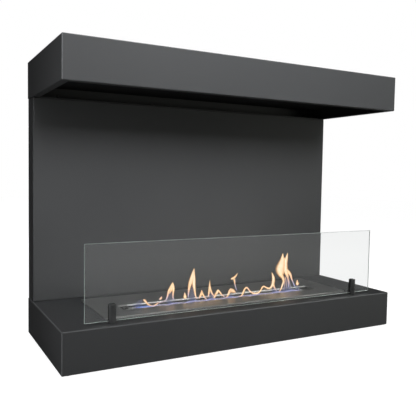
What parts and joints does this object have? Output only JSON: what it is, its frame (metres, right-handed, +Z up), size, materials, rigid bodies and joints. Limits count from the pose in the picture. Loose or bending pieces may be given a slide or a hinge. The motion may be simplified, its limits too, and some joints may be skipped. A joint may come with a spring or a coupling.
{
  "type": "bioethanol fireplace",
  "caption": "C-shaped free-standing bioethanol fireplace: folded steel base, hood and back casing, drop-in stainless slot burner with a sliding damper, and a glass pane in slotted posts.",
  "frame": {"origin": "on the floor, under the middle of the object's footprint", "axes": "+X along the width to the right as seen from the front, +Y from the front to the back casing, +Z up"},
  "size_m": [0.8, 0.3, 0.603],
  "materials": {
    "powder_coat": "satin anthracite powder coat, fine even texture",
    "heat_coat": "matte black heat-resistant coat",
    "black_steel": "blackened turned steel, satin",
    "zinc_plate": "bright zinc plate",
    "brushed_stainless": "brushed along the slot",
    "ceramic_wool": "fibrous, heat-greyed",
    "silicone": "dark grey, matte",
    "rubber": "matte black",
    "clear_glass": "clear tempered float glass, polished edges with a green cast"
  },
  "bodies": {
    "cabinet": {"base_shell": "powder_coat", "foot_left_front": "rubber", "foot_right_front": "rubber", "foot_left_rear": "rubber", "foot_right_rear": "rubber", "back_casing": "powder_coat", "rear_cover": "powder_coat", "rear_cover_screw_1": "black_steel", "rear_cover_screw_2": "black_steel", "rear_cover_screw_3": "black_steel", "rear_cover_screw_4": "black_steel", "rear_cover_screw_5": "black_steel", "rear_cover_screw_6": "black_steel", "hanger_rail": "zinc_plate", "hanger_rail_screw_1": "black_steel", "hanger_rail_screw_2": "black_steel", "hanger_rail_screw_3": "black_steel", "hanger_rail_screw_4": "black_steel", "hood_shell": "powder_coat", "heat_shield": "heat_coat", "heat_shield_screw_1": "black_steel", "heat_shield_screw_2": "black_steel", "heat_shield_screw_3": "black_steel", "heat_shield_screw_4": "black_steel", "base_joint_bolt_1": "zinc_plate", "base_joint_bolt_2": "zinc_plate", "base_joint_bolt_3": "zinc_plate", "base_joint_bolt_4": "zinc_plate", "base_joint_nut_1": "zinc_plate", "base_joint_nut_2": "zinc_plate", "base_joint_nut_3": "zinc_plate", "base_joint_nut_4": "zinc_plate", "hood_joint_bolt_1": "black_steel", "hood_joint_bolt_2": "black_steel", "hood_joint_bolt_3": "black_steel", "hood_joint_bolt_4": "black_steel", "hood_joint_nut_1": "black_steel", "hood_joint_nut_2": "black_steel", "hood_joint_nut_3": "black_steel", "hood_joint_nut_4": "black_steel", "post_left": "black_steel", "post_right": "black_steel", "post_liner_left": "silicone", "post_liner_right": "silicone", "post_washer_left": "zinc_plate", "post_washer_right": "zinc_plate", "post_nut_left": "zinc_plate", "post_nut_right": "zinc_plate"},
    "glass": {"glass_pane": "clear_glass"},
    "burner": {"burner_plate": "brushed_stainless", "fuel_tank": "brushed_stainless", "spill_tray": "brushed_stainless", "wool_pad": "ceramic_wool", "damper_guide_left": "brushed_stainless", "damper_guide_right": "brushed_stainless"},
    "damper": {"damper": "brushed_stainless"}
  },
  "joints": [
    {"name": "glass_lift", "type": "slide", "parent": "cabinet", "child": "glass", "axis": [0, 0, 1], "range_m": [0, 0.06]},
    {"name": "burner_lift", "type": "slide", "parent": "cabinet", "child": "burner", "axis": [0, 0, 1], "range_m": [0, 0.08]},
    {"name": "damper_slide", "type": "slide", "parent": "burner", "child": "damper", "axis": [0, -1, 0], "range_m": [0, 0.0355]}
  ]
}
